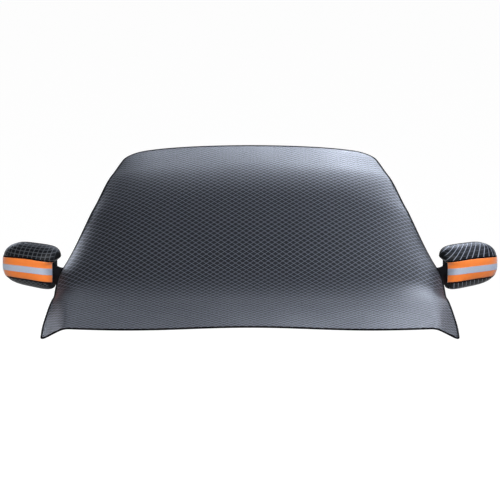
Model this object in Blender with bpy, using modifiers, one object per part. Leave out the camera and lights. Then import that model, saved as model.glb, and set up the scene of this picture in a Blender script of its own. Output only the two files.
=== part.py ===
"""Windshield frost cover, draped as it lies on the car.

One fabric panel runs from the rear edge of the hood up over the glass to the edge of the roof.
A fitted cover for each side mirror hangs on it by a short neck of stretch fabric.
Metres, +Z up, the front of the car towards -Y, X across. Left and right are seen from the front.
"""
import bpy
import bmesh
import math
from mathutils import Vector

# Fits between neighbouring pieces
GAP = 0.0003                 # clearance between two pieces that are sewn together
SOFT_GAP = 0.0005            # the same where both pieces curve two ways

# Panel, as the flat sheet it is cut from: half-widths at heights from the hem
PANEL_THICK = 0.003
HEM_HALF = 0.832
FLAP_HALF, FLAP_TOP = 0.828, 0.15            # the hood flap
WAIST_HALF, WAIST_AT = 0.797, 0.375          # drawn in a little above the flap
SHOULDER_HALF, SHOULDER_AT = 0.805, 0.50     # foot of the windshield pillar
PILLAR_HALF, PILLAR_AT = 0.785, 0.65
GLASS_HALF, GLASS_AT = 0.677, 0.92           # middle of the glass
TOP_HALF = 0.526
TOP_CORNER, HEM_CORNER = 0.10, 0.025         # radii of the rounded corners

# Panel, as it lies: the middle line is a chain of arcs, each with its length and its end slope
HEM_SLOPE = 2.9
HOOD_LENGTH, HOOD_SLOPE = 0.300, 4.0         # flat on the hood
COWL_LENGTH, COWL_SLOPE = 0.260, 31.5        # turns up at the cowl
LOWER_LENGTH, LOWER_SLOPE = 0.120, 32.0      # lies on the lower glass
CROWN_LENGTH, CROWN_SLOPE = 0.250, 24.0      # follows the crown of the glass
ROLL_LENGTH, ROLL_SLOPE = 0.290, 6.5         # rolls over towards the roof
ROOF_LENGTH, ROOF_SLOPE = 0.216, 2.5         # nearly level at the top
ARCS = ((HOOD_LENGTH, HOOD_SLOPE), (COWL_LENGTH, COWL_SLOPE), (LOWER_LENGTH, LOWER_SLOPE),
        (CROWN_LENGTH, CROWN_SLOPE), (ROLL_LENGTH, ROLL_SLOPE), (ROOF_LENGTH, ROOF_SLOPE))
PANEL_HEIGHT = sum(length for length, _ in ARCS)
SEAT_AT = 0.62               # the panel's underside here lies on the glass, and is the part's origin

# Panel, across: turning angles in degrees, eased from the hood to the glass
GLASS_FROM, GLASS_TO = 0.15, 0.55            # the hood's shape gives way to the glass's shape
GLASS_BOW = ((0.25, 0.0), (0.50, 5.0), (0.80, 6.0), (1.40, 5.0))
PILLAR_WRAP = ((0.30, 8), (0.50, 32), (0.68, 50), (0.95, 28), (1.20, 16), (1.40, 10))
WRAP_REACH = 0.10                            # how far in from the edge the wrap is felt
HOOD_CREST, HOOD_CREST_AT = 0.006, 0.48      # the hood's shallow bulge, and its distance out
FLAP_ANGLE, FLAP_AT, FLAP_SPREAD, FLAP_BEND = 30.5, 0.730, 0.07, 0.06

# Panel mesh
PANEL_COLUMNS, PANEL_ROWS = 26, 28
DRAPE_STEPS = 60             # steps from the middle out to a place on the panel
TOP_CORNER_ROWS, HEM_CORNER_ROWS = 5, 3

# Binding tape sewn round the panel's edge
BIND_THICK = 0.0009
BIND_LIP = 0.006             # how far it reaches in over the panel
BIND_BEND = 0.0017           # how far its fold stands out from the panel's edge

# Mirror cover: a rounded shell, open at the back, swept back at its outer end
SHELL_LONG, SHELL_DEEP, SHELL_HIGH = 0.1266, 0.0745, 0.0895      # half sizes
SHELL_WALL = 0.002
SHELL_OUTER_POWER, SHELL_INNER_POWER = 3.0, 5.0                  # squareness of its ends from the front
SHELL_DEPTH_POWER = 2.3                                          # squareness in its depth
SHELL_FULL_BELOW = 0.10                                          # fuller at its inner lower corner
SHELL_SPACE, SHELL_BEHIND, SHELL_ABOVE = 0.0052, 0.0815, 0.0168    # its inner end from the panel's side
NOTCH_DEPTH, NOTCH_EASE = 0.026, 0.028                           # room for the mirror's arm
NOTCH_TOP, NOTCH_BOTTOM = 0.033, -0.079
NOTCH_STEPS = 12             # steps to find a place's length without the notch
SHELL_SWEEP = 24.4
MOUTH_ANGLE = -26.0                                              # the shell ends behind its widest ring
SHELL_COLUMNS, SHELL_END_COLUMNS, SHELL_ROWS = 15, 14, 10        # each half, its inner end, and its depth
SHELL_END_ANGLE = 30.0                                           # where the columns are closer together

# Elastic casing round the mouth of the mirror cover
CASING_LIP_ANGLE = 7.0                                           # reach over the shell, up its curve
CASING_GAP = 0.0013                                              # clearance from the shell's wall
CASING_TURN = 1.1                                                # angle of its fold round the cord
CORD_RADIUS, CORD_SIDES = 0.0015, 6

# Warning tape round the front of the mirror cover
TAPE_WIDTH, TAPE_THICK = 0.084, 0.0005
STRIPE_WIDTH, STRIPE_THICK = 0.027, 0.0003
TAPE_LOW, TAPE_RISE, TAPE_TILT = -0.0205, 0.300, 0.022           # height, slopes forward and outwards
TAPE_OUTER, TAPE_INNER, TAPE_PULL = -12.0, 172.5, 2.0            # ends, as angles round the shell
TAPE_LIFT = 0.0015
TAPE_COLUMNS = 24

# Neck between mirror cover and panel
NECK_THICK = 0.0015
NECK_FROM, NECK_TO = 0.527, 0.640            # heights on the panel's side
NECK_TUCK = 0.014                            # how far it runs in under the panel
NECK_SEAM, NECK_AHEAD = 175.0, 0.25          # angle of its seam round the shell, and a step on from it
NECK_LIFT, NECK_DROP = 0.0008, 0.0013        # clearances from the shell and from the panel's binding
NECK_DIP = 0.020                             # how far its upper edge dips between its seams
NECK_RUN, NECK_RISE = 0.6, 0.02              # how far it keeps its direction at either seam
NECK_COLUMNS, NECK_ROWS = 10, 6

BINDING_COLOUR = (0.012, 0.012, 0.014)
COLLECTION = "windshield_frost_cover"
STEP = 0.002                 # small length or angle for finding slopes


def ease(x):
    """Smooth step from 0 to 1."""
    x = min(1.0, max(0.0, x))
    return x * x * (3 - 2 * x)


def along(stops, t):
    """Value at t between the nearest two stops, eased."""
    if t <= stops[0][0]:
        return stops[0][1]
    for (a, low), (b, high) in zip(stops, stops[1:]):
        if t <= b:
            return low + (high - low) * ease((t - a) / (b - a))
    return stops[-1][1]


def evenly(start, stop, count):
    """Values from start to stop in count equal steps."""
    return [start + (stop - start) * i / count for i in range(count + 1)]


def middle_line(t):
    """Place and slope of the panel's middle line at the length t from the hem."""
    slope, y, z = math.radians(HEM_SLOPE), 0.0, 0.0
    for length, end in ARCS:
        step = min(t, length)
        turn = (math.radians(end) - slope) / length
        ahead = slope + turn * step
        y += (math.sin(ahead) - math.sin(slope)) / turn
        z += (math.cos(slope) - math.cos(ahead)) / turn
        slope = ahead
        t -= step
        if t <= 0:
            return y, z, slope
    return y + t * math.cos(slope), z + t * math.sin(slope), slope


def seat_place():
    """The panel's underside at the seat on the glass, from the middle of the hem."""
    y, z, slope = middle_line(SEAT_AT)
    return Vector((0.0, y + math.sin(slope) * PANEL_THICK / 2, z - math.cos(slope) * PANEL_THICK / 2))


def side(t):
    """Half the flat panel's width at height t before its corners are rounded, a smooth curve."""
    stops = ((0.0, HEM_HALF), (FLAP_TOP, FLAP_HALF), (WAIST_AT, WAIST_HALF), (SHOULDER_AT, SHOULDER_HALF),
             (PILLAR_AT, PILLAR_HALF), (GLASS_AT, GLASS_HALF), (PANEL_HEIGHT, TOP_HALF))
    slopes = [(right[1] - left[1]) / (right[0] - left[0])
              for left, right in zip(stops[:1] + stops[:-1], stops[1:] + stops[-1:])]
    span = sum(t > height for height, _ in stops[1:-1])
    (low, start), (high, end) = stops[span], stops[span + 1]
    x = (t - low) / (high - low)
    rise_low, rise_high = slopes[span] * (high - low), slopes[span + 1] * (high - low)
    return (start * (1 + 2 * x) * (1 - x) ** 2 + end * x * x * (3 - 2 * x)
            + rise_low * x * (1 - x) ** 2 - rise_high * x * x * (1 - x))


def side_lean(t):
    """Angle at which the panel's side runs in towards its middle at height t."""
    return math.atan((side(t - STEP) - side(t + STEP)) / (2 * STEP))


def half_width(t, inset=0.0):
    """Half-width and outward normal of the rounded outline, drawn in by inset, at height t."""
    for radius, centre, sign in ((HEM_CORNER, HEM_CORNER, -1), (TOP_CORNER, PANEL_HEIGHT - TOP_CORNER, 1)):
        if (t - centre) * sign > 0:
            lean = side_lean(centre)
            tangent = centre + radius * math.sin(lean)
            if (t - tangent) * sign > 0:
                rise = min(1.0, (t - centre) * sign / (radius - inset))
                run = math.sqrt(1 - rise * rise)
                return side(tangent) - radius * math.cos(lean) + (radius - inset) * run, (run, sign * rise)
    lean = side_lean(t)
    return side(t) - inset / math.cos(lean), (math.cos(lean), math.sin(lean))


def turn_across(s, t):
    """Angle of the panel across the car, at the flat place s from the middle and t from the hem."""
    glass = ease((t - GLASS_FROM) / (GLASS_TO - GLASS_FROM))
    edge = side(t)
    wrapped = math.radians(along(GLASS_BOW, t)) * s / edge
    wrapped += math.radians(along(PILLAR_WRAP, t)) * math.exp((s - edge) / WRAP_REACH)
    wave = math.pi / HOOD_CREST_AT
    hood = math.atan(HOOD_CREST * wave * math.sin(min(s * wave, 1.5 * math.pi)))
    hood += math.radians(FLAP_ANGLE) * ease((s - FLAP_AT - FLAP_SPREAD * t) / FLAP_BEND + 0.5)
    return wrapped * glass + hood * (1 - glass)


def panel_point(s, t):
    """Where the flat place (s, t) of the panel's middle layer lies on the car."""
    across = drop = 0.0
    for i in range(DRAPE_STEPS):
        angle = turn_across(abs(s) * (i + 0.5) / DRAPE_STEPS, t)
        across += math.cos(angle) * abs(s) / DRAPE_STEPS
        drop += math.sin(angle) * abs(s) / DRAPE_STEPS
    y, z, slope = middle_line(t)
    return Vector((math.copysign(across, s), y + math.sin(slope) * drop, z - math.cos(slope) * drop)) - seat


def panel_skin(s, t, lift):
    """The same place, lifted off the panel's middle layer along its upward normal."""
    right = panel_point(s + STEP, t) - panel_point(s - STEP, t)
    rear = panel_point(s, t + STEP) - panel_point(s, t - STEP)
    return panel_point(s, t) + right.cross(rear).normalized() * lift


def panel_rows():
    """Heights of the panel mesh's rows, closer together where the corners are rounded."""
    top_lean = math.atan((side(PANEL_HEIGHT - TOP_CORNER) - side(PANEL_HEIGHT)) / TOP_CORNER)
    low, high = HEM_CORNER, PANEL_HEIGHT - TOP_CORNER
    hem_arc, top_arc = HEM_CORNER - BIND_LIP, TOP_CORNER - BIND_LIP
    rows = [low - hem_arc * math.cos(math.pi / 2 * i / HEM_CORNER_ROWS) for i in range(HEM_CORNER_ROWS)]
    rows += evenly(low, high + top_arc * math.sin(top_lean), PANEL_ROWS)[:-1]
    rows += [high + top_arc * math.sin(a) for a in evenly(top_lean, math.pi / 2, TOP_CORNER_ROWS)]
    return rows


def new_object(name, bm, colour, roughness, thickness=0.0):
    """Make the named object from a bmesh, with its material, and file it in the part's collection."""
    bmesh.ops.recalc_face_normals(bm, faces=bm.faces)
    mesh = bpy.data.meshes.new(name)
    bm.to_mesh(mesh)
    bm.free()
    obj = bpy.data.objects.new(name, mesh)
    part_collection.objects.link(obj)
    if thickness:
        wall = obj.modifiers.new("thickness", 'SOLIDIFY')
        wall.thickness = thickness
        wall.offset = 0.0
        wall.use_even_offset = True
    material = bpy.data.materials.new(name)
    material.use_nodes = True
    shader = material.node_tree.nodes["Principled BSDF"]
    shader.inputs["Base Color"].default_value = (*colour, 1.0)
    shader.inputs["Roughness"].default_value = roughness
    mesh.materials.append(material)


def grid(columns, rows, place):
    """An open grid of quads, its vertices at place(column value, row value), joined where they meet."""
    bm = bmesh.new()
    bmesh.ops.create_grid(bm, x_segments=len(columns) - 1, y_segments=len(rows) - 1, size=1.0)
    across, up = bm.verts.layers.float.new("across"), bm.verts.layers.float.new("up")
    for vert in bm.verts:
        column = columns[round((vert.co.x + 1) / 2 * (len(columns) - 1))]
        row = rows[round((vert.co.y + 1) / 2 * (len(rows) - 1))]
        vert[across], vert[up] = column, row
        vert.co = place(column, row)
    bmesh.ops.remove_doubles(bm, verts=bm.verts, dist=0.000001)
    return bm


def thicken(bm, place):
    """Close an open grid into a sheet, its faces at place(across, up, 0) and place(across, up, 1)."""
    across, up = bm.verts.layers.float["across"], bm.verts.layers.float["up"]
    raised = bmesh.ops.extrude_face_region(bm, geom=bm.faces[:], use_keep_orig=True)["geom"]
    upper = {item for item in raised if isinstance(item, bmesh.types.BMVert)}
    for vert in bm.verts:
        vert.co = place(vert[across], vert[up], 1 if vert in upper else 0)


def make_panel():
    """The fabric panel: an inner grid, one border ring under the binding, and the sheet's thickness."""
    rows = panel_rows()
    bm = grid(evenly(-1.0, 1.0, PANEL_COLUMNS), rows,
              lambda share, t: Vector((share * half_width(t, BIND_LIP)[0], t, 0.0)))
    outline = flat_outline(rows)
    rim = bmesh.ops.extrude_edge_only(bm, edges=[e for e in bm.edges if e.is_boundary])["geom"]
    for vert in [item for item in rim if isinstance(item, bmesh.types.BMVert)]:
        place, normal = min(outline, key=lambda entry: (entry[0] - vert.co).length)
        vert.co = place + normal * BIND_LIP
    across, up = bm.verts.layers.float["across"], bm.verts.layers.float["up"]
    for vert in bm.verts:
        vert[across], vert[up] = vert.co.x, vert.co.y
    thicken(bm, lambda s, t, face: panel_skin(s, t, PANEL_THICK * (face - 0.5)))
    new_object("cover_panel", bm, (0.045, 0.048, 0.058), 0.55)
    return outline


def flat_outline(rows):
    """The inner grid's border places in order round it, each with the flat outline's outward normal."""
    shares = evenly(-1.0, 1.0, PANEL_COLUMNS)
    loop = [(share, rows[0], (0.0, -1.0)) for share in shares]
    loop += [(1.0, t, half_width(t, BIND_LIP)[1]) for t in rows[1:-1]]
    loop += [(share, rows[-1], (0.0, 1.0)) for share in reversed(shares)]
    loop += [(-1.0, t, half_width(t, BIND_LIP)[1]) for t in reversed(rows[1:-1])]
    outline = []
    for share, t, (out, up) in loop:
        place = Vector((share * half_width(t, BIND_LIP)[0], t, 0.0))
        outline.append((place, Vector((math.copysign(out, share), up, 0.0))))
    return outline


def make_binding(outline):
    """The binding tape, folded over the panel's edge all the way round."""
    lift = PANEL_THICK / 2 + SOFT_GAP + BIND_THICK / 2
    fold = [(0.0, lift), (BIND_LIP + BIND_BEND / 2, lift), (BIND_LIP + BIND_BEND, lift / 2)]
    fold += [(out, -up) for out, up in reversed(fold)]

    def place(index, corner):
        flat, normal = outline[index % len(outline)]
        out, up = fold[corner]
        spot = flat + normal * out
        return panel_skin(spot.x, spot.y, up)

    bm = grid(range(len(outline) + 1), range(len(fold)), place)
    new_object("edge_binding", bm, BINDING_COLOUR, 0.8, BIND_THICK)


def shell_centre():
    """Middle of the right-hand mirror cover, beside the panel's side where its neck is sewn on."""
    t = (NECK_FROM + NECK_TO) / 2
    edge = panel_point(half_width(t)[0], t)
    long = SHELL_LONG * math.cos(math.radians(SHELL_SWEEP))
    return edge + Vector((SHELL_SPACE + long, SHELL_BEHIND, SHELL_ABOVE))


def shell_to_world(hand, u, v, z):
    """From the mirror cover's own outward, forward and upward lengths to the car."""
    z *= 1 - SHELL_FULL_BELOW * (u / SHELL_LONG) * (1 - z / SHELL_HIGH) / 2
    c, s = math.cos(math.radians(SHELL_SWEEP)), math.sin(math.radians(SHELL_SWEEP))
    x, y, height = shell_middle
    return Vector((hand * (x + u * c + v * s), y + u * s - v * c, height + z))


def power(value, exponent):
    """A signed power, for rounded squares."""
    return math.copysign(abs(value) ** exponent, value)


def front_power(outward):
    """Squareness of the shell's front outline on the outer or the inner side."""
    return SHELL_OUTER_POWER if outward > 0 else SHELL_INNER_POWER


def inner_reach(u, z):
    """Share of the outward length u left at the height z by the notch for the mirror's arm."""
    inward = min(1.0, max(0.0, -u / SHELL_LONG))
    notch = ease((NOTCH_TOP - z) / NOTCH_EASE + 0.5) * ease((z - NOTCH_BOTTOM) / NOTCH_EASE + 0.5)
    return 1 - NOTCH_DEPTH / SHELL_LONG * notch * inward ** 2


def shell_ring_point(hand, around, back):
    """Point of the shell at the angle around its front and the angle forward from its widest ring."""
    c, s = math.cos(around), math.sin(around)
    square = front_power(c)
    reach = (abs(c) ** square + abs(s) ** square) ** (-1 / square)
    reach *= power(math.cos(back), 2 / SHELL_DEPTH_POWER)
    u, z = SHELL_LONG * reach * c, SHELL_HIGH * reach * s
    depth = SHELL_DEEP * power(math.sin(back), 2 / SHELL_DEPTH_POWER)
    return shell_to_world(hand, u * inner_reach(u, z), depth, z)


def shell_ring_skin(hand, around, back, lift):
    """The same place, lifted off the shell along its outward normal."""
    spot = shell_ring_point(hand, around, back)
    back = min(back, math.pi / 2 - 2 * STEP)
    side_on = shell_ring_point(hand, around + STEP, back) - shell_ring_point(hand, around - STEP, back)
    forward = shell_ring_point(hand, around, back + STEP) - shell_ring_point(hand, around, back - STEP)
    return spot + side_on.cross(forward).normalized() * hand * lift


def shell_level(u, v, z, grow=0.0):
    """One on the shell's outer face, less inside it and more outside it."""
    square, whole = front_power(u), u
    for _ in range(NOTCH_STEPS):
        whole = u / inner_reach(whole, z)
    front = abs(whole / (SHELL_LONG + grow)) ** square + abs(z / (SHELL_HIGH + grow)) ** square
    front **= 1 / square
    return front ** SHELL_DEPTH_POWER + abs(v / (SHELL_DEEP + grow)) ** SHELL_DEPTH_POWER


def shell_side_point(hand, azimuth, z):
    """Point of the shell at the height z, in the direction of azimuth seen from above."""
    u, v = math.cos(azimuth), math.sin(azimuth)
    near, far = 0.0, 2 * SHELL_LONG
    for _ in range(40):
        middle = (near + far) / 2
        if shell_level(u * middle, v * middle, z) < 1:
            near = middle
        else:
            far = middle
    return shell_to_world(hand, u * near, v * near, z)


def shell_skin(hand, azimuth, z, lift):
    """The same place, lifted off the shell along its outward normal."""
    across = shell_side_point(hand, azimuth + STEP, z) - shell_side_point(hand, azimuth - STEP, z)
    up = shell_side_point(hand, azimuth, z + STEP) - shell_side_point(hand, azimuth, z - STEP)
    return shell_side_point(hand, azimuth, z) + up.cross(across).normalized() * hand * lift


def shell_rounds():
    """Angles round the shell, closer together at its inner end."""
    near = math.pi - math.radians(SHELL_END_ANGLE)
    rounds = evenly(0.0, near, SHELL_COLUMNS) + evenly(near, 2 * math.pi - near, SHELL_END_COLUMNS)[1:]
    return rounds + evenly(2 * math.pi - near, 2 * math.pi, SHELL_COLUMNS)[1:]


def make_shell(hand, name):
    """The mirror cover's fabric shell, from its mouth to the middle of its front."""
    mouth = math.radians(MOUTH_ANGLE)
    rows = [mouth] + evenly(mouth + math.radians(CASING_LIP_ANGLE), math.pi / 2, SHELL_ROWS)
    bm = grid(shell_rounds(), rows,
              lambda around, back: shell_ring_point(hand, around, back))
    thicken(bm, lambda around, back, face: shell_ring_skin(hand, around, back, -SHELL_WALL * face))
    new_object(name, bm, (0.02, 0.022, 0.027), 0.6)


def make_casing(hand, name, cord_name):
    """The elastic casing folded over the shell's mouth, and the elastic cord that runs in it."""
    mouth = math.radians(MOUTH_ANGLE)
    lip = mouth + math.radians(CASING_LIP_ANGLE)
    over = CASING_GAP + BIND_THICK / 2
    bend = CORD_RADIUS + CASING_GAP + BIND_THICK / 2
    fold = [(lip, over), (mouth, over), CASING_TURN, 0.0, -CASING_TURN]
    fold += [(mouth, -SHELL_WALL - over), (lip, -SHELL_WALL - over)]

    def round_cord(around, turn, radius):
        outer = shell_ring_point(hand, around, mouth)
        inner = shell_ring_skin(hand, around, mouth, -SHELL_WALL)
        normal = (outer - inner).normalized()
        rear = shell_ring_point(hand, around, mouth - STEP) - outer
        rear = (rear - normal * rear.dot(normal)).normalized()
        middle = (outer + inner) / 2 + rear * (CORD_RADIUS + SOFT_GAP)
        return middle + (rear * math.cos(turn) + normal * math.sin(turn)) * radius

    def place(around, corner):
        spot = fold[corner]
        if isinstance(spot, float):
            return round_cord(around, spot, bend)
        return shell_ring_skin(hand, around, *spot)

    rounds = shell_rounds()
    new_object(name, grid(rounds, range(len(fold)), place), BINDING_COLOUR, 0.8, BIND_THICK)
    turns = evenly(0.0, 2 * math.pi, CORD_SIDES)
    cord = grid(rounds, turns, lambda around, turn: round_cord(around, turn, CORD_RADIUS))
    new_object(cord_name, cord, (0.6, 0.6, 0.58), 0.6)


def tape_height(azimuth):
    """Height of the tape's middle line on the shell, which lies in a plane that rises forward."""
    u, v = math.cos(azimuth), math.sin(azimuth)
    reach = shell_level(u, v, 0.0) ** (-1 / SHELL_DEPTH_POWER)
    return TAPE_LOW + (TAPE_RISE * v - TAPE_TILT * u) * reach


def make_tape(hand, name, width, lift, thickness, colour, roughness):
    """A strip of warning tape round the front of the shell, its inner end drawn in by the neck."""
    ends = [math.radians(angle) for angle in (TAPE_OUTER, TAPE_INNER)]
    outer, inner = [math.atan2(math.sin(end) / SHELL_DEEP, math.cos(end) / SHELL_LONG) for end in ends]

    def place(share, level, face):
        end = inner - math.radians(TAPE_PULL) * (1 - level * level)
        turn = outer + (end - outer) * share
        azimuth = math.atan2(SHELL_DEEP * math.sin(turn), SHELL_LONG * math.cos(turn))
        height = tape_height(azimuth) + level * TAPE_WIDTH / 2
        return shell_skin(hand, azimuth, height, lift + thickness * face)

    stripe = STRIPE_WIDTH / TAPE_WIDTH
    levels = (-1.0, -(1 + stripe) / 2, -stripe, 0.0, stripe, (1 + stripe) / 2, 1.0)
    rows = [level for level in levels if abs(level) * TAPE_WIDTH <= width + GAP]
    bm = grid(evenly(0.0, 1.0, TAPE_COLUMNS), rows, lambda share, level: place(share, level, 0))
    thicken(bm, place)
    new_object(name, bm, colour, roughness)


def clear_of_shell(hand, point, grow):
    """Move a point that lies inside the grown shell straight out to its face."""
    x, y, height = shell_middle
    c, s = math.cos(math.radians(SHELL_SWEEP)), math.sin(math.radians(SHELL_SWEEP))
    dx, dy, z = point.x * hand - x, point.y - y, point.z - height
    u, v = dx * c + dy * s, dx * s - dy * c
    level = shell_level(u, v, z, grow)
    if level >= 1:
        return point
    scale = level ** (-1 / SHELL_DEPTH_POWER)
    return shell_to_world(hand, u * scale, v * scale, z * scale)


def make_neck(hand, name):
    """The neck: sewn to the shell beside the tape's inner end, and in under the panel's bound edge."""
    seam = math.radians(NECK_SEAM)
    under = -(PANEL_THICK / 2 + SOFT_GAP + BIND_THICK + NECK_DROP + NECK_THICK / 2)
    off_shell = NECK_LIFT + NECK_THICK / 2

    def place(share, level):
        z = tape_height(seam) + level * TAPE_WIDTH / 2
        start = shell_skin(hand, seam, z, off_shell)
        ahead = shell_skin(hand, seam + NECK_AHEAD, z, off_shell)
        t = NECK_FROM + (NECK_TO - NECK_FROM) * (level + 1) / 2
        edge = half_width(t)[0]
        if share > 1:
            return panel_skin(hand * (edge - NECK_TUCK * (share - 1)), t, under)
        end = panel_skin(hand * edge, t, under)
        before = panel_skin(hand * (edge + NECK_RISE), t, under)
        dip = Vector((0.0, 0.0, -NECK_DIP * max(0.0, level)))
        first = start + (ahead - start) * NECK_RUN + dip
        r = 1 - share
        point = start * r ** 3 + first * 3 * r * r * share + before * 3 * r * share ** 2 + end * share ** 3
        return point if share == 0 else clear_of_shell(hand, point, off_shell + SOFT_GAP)

    shares = evenly(0.0, 1.0, NECK_COLUMNS) + [1.5, 2.0]
    bm = grid(shares, evenly(-1.0, 1.0, NECK_ROWS), place)
    new_object(name, bm, (0.016, 0.016, 0.018), 0.85, NECK_THICK)


for old in list(bpy.data.objects):
    bpy.data.objects.remove(old, do_unlink=True)

part_collection = bpy.data.collections.new(COLLECTION)
bpy.context.scene.collection.children.link(part_collection)

seat = seat_place()
shell_middle = shell_centre()
make_binding(make_panel())
for hand, word in ((-1, "left"), (1, "right")):
    make_shell(hand, f"mirror_cover_{word}")
    make_casing(hand, f"mouth_casing_{word}", f"mouth_elastic_{word}")
    make_tape(hand, f"warning_tape_{word}", TAPE_WIDTH, TAPE_LIFT, TAPE_THICK, (1.0, 0.21, 0.02), 0.5)
    make_tape(hand, f"silver_stripe_{word}", STRIPE_WIDTH, TAPE_LIFT + TAPE_THICK + GAP, STRIPE_THICK,
              (0.45, 0.52, 0.62), 0.4)
    make_neck(hand, f"mirror_neck_{word}")
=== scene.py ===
"""Looks of the windshield frost cover, piece by piece, in the order in which it is sewn together.

The cover lies as it does on a car: front towards -Y, +Z up, left and right as seen from the front.
"""
import math

import bpy
import numpy as np
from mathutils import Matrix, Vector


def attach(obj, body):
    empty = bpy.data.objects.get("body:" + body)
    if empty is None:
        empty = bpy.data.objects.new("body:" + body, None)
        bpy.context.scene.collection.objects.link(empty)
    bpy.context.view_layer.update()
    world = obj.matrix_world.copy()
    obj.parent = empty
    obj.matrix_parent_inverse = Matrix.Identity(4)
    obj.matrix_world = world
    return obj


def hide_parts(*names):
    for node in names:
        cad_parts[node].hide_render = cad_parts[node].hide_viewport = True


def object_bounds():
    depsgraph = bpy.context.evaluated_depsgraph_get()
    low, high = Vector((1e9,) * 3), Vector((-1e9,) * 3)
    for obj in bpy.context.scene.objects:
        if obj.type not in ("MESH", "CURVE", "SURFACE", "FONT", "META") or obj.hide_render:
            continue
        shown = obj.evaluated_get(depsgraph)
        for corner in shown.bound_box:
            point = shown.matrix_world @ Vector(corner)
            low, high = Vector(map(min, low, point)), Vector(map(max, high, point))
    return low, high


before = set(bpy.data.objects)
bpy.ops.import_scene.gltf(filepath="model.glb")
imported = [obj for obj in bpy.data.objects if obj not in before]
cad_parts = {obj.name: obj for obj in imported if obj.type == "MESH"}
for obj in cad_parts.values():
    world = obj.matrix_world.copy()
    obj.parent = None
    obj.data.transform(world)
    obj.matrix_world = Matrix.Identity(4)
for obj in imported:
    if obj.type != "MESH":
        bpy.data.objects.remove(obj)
cad_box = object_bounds()


# The panel: one piece of coated polyester, cut wide at the hood and narrow at the roof, with a thin
# wadding and a felt lining behind it. It has no frame and takes its shape from the car under it, so
# it is worked out as a flat cut that bends along the car's middle line and then turns down sideways.
PANEL_THICK = 0.003
# Height from the hem and half-width of the cut.
SIDE_CUT = ((0.0, 0.832), (0.15, 0.828), (0.375, 0.797), (0.50, 0.805), (0.65, 0.785), (0.92, 0.677),
            (1.436, 0.526))
TOP_CORNER, HEM_CORNER = 0.10, 0.025
HEM_SLOPE = 2.9
# Length along the car and slope in degrees at its end: hood, cowl, lower glass, crown, roll, roof.
ARCS = ((0.300, 4.0), (0.260, 31.5), (0.120, 32.0), (0.250, 24.0), (0.290, 6.5), (0.216, 2.5))
PANEL_HEIGHT = sum(length for length, _ in ARCS)
SEAT_AT = 0.62
GLASS_FROM, GLASS_TO = 0.15, 0.55
# Height from the hem and degrees by which the sheet has turned down at its edge.
GLASS_BOW = ((0.25, 0.0), (0.50, 5.0), (0.80, 6.0), (1.40, 5.0))
PILLAR_WRAP = ((0.30, 8), (0.50, 32), (0.68, 50), (0.95, 28), (1.20, 16), (1.40, 10))
WRAP_REACH = 0.10
HOOD_CREST, HOOD_CREST_AT = 0.006, 0.48
FLAP_ANGLE, FLAP_AT, FLAP_SPREAD, FLAP_BEND = 30.5, 0.730, 0.07, 0.06
PANEL_COLUMNS, PANEL_ROWS, CORNER_ROWS = 150, 120, 10
STEP = 0.002


def ease(x):
    x = np.clip(x, 0.0, 1.0)
    return x * x * (3 - 2 * x)


def eased_between(stops, t):
    value = np.full(np.shape(t), float(stops[0][1]))
    for (a, low), (b, high) in zip(stops, stops[1:]):
        value = np.where(t > a, low + (high - low) * ease((t - a) / (b - a)), value)
    return value


def side_cut(t):
    """Half the flat panel's width, before its corners are rounded."""
    at, half = np.array(SIDE_CUT).T
    run = np.gradient(half, at)
    run[1:-1] = (half[2:] - half[:-2]) / (at[2:] - at[:-2])
    i = np.clip(np.searchsorted(at, t) - 1, 0, len(at) - 2)
    gap = at[i + 1] - at[i]
    x = (t - at[i]) / gap
    return (half[i] * (1 + 2 * x) * (1 - x) ** 2 + half[i + 1] * x * x * (3 - 2 * x)
            + run[i] * gap * x * (1 - x) ** 2 - run[i + 1] * gap * x * x * (1 - x))


def side_lean(t):
    return np.arctan((side_cut(t - STEP) - side_cut(t + STEP)) / (2 * STEP))


def cut_edge(t):
    """Half-width of the cut with its corners rounded, and the edge's outward direction in the flat."""
    t = np.asarray(t, float)
    lean = side_lean(t)
    half, out, up = side_cut(t), np.cos(lean), np.sin(lean)
    for radius, centre, sign in ((HEM_CORNER, HEM_CORNER, -1), (TOP_CORNER, PANEL_HEIGHT - TOP_CORNER, 1)):
        lean = float(side_lean(np.array(centre)))
        tangent = centre + radius * math.sin(lean)
        rise = np.clip((t - centre) * sign / radius, -1.0, 1.0)
        run = np.sqrt(1 - rise * rise)
        rounded = (t - tangent) * sign > 0
        base = float(side_cut(np.array(tangent))) - radius * math.cos(lean)
        half = np.where(rounded, base + radius * run, half)
        out, up = np.where(rounded, run, out), np.where(rounded, sign * rise, up)
    return half, out, up


def middle_line():
    """The car's middle line under the panel: length from the hem, place and slope, finely sampled."""
    t = np.linspace(0.0, PANEL_HEIGHT, 3000)
    ends = np.cumsum([0.0] + [length for length, _ in ARCS])
    slope = np.interp(t, ends, np.radians([HEM_SLOPE] + [end for _, end in ARCS]))
    middle = (slope[1:] + slope[:-1]) / 2
    y = np.concatenate([[0.0], np.cumsum(np.cos(middle) * np.diff(t))])
    z = np.concatenate([[0.0], np.cumsum(np.sin(middle) * np.diff(t))])
    return t, y, z, slope


LINE_T, LINE_Y, LINE_Z, LINE_SLOPE = middle_line()


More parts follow.
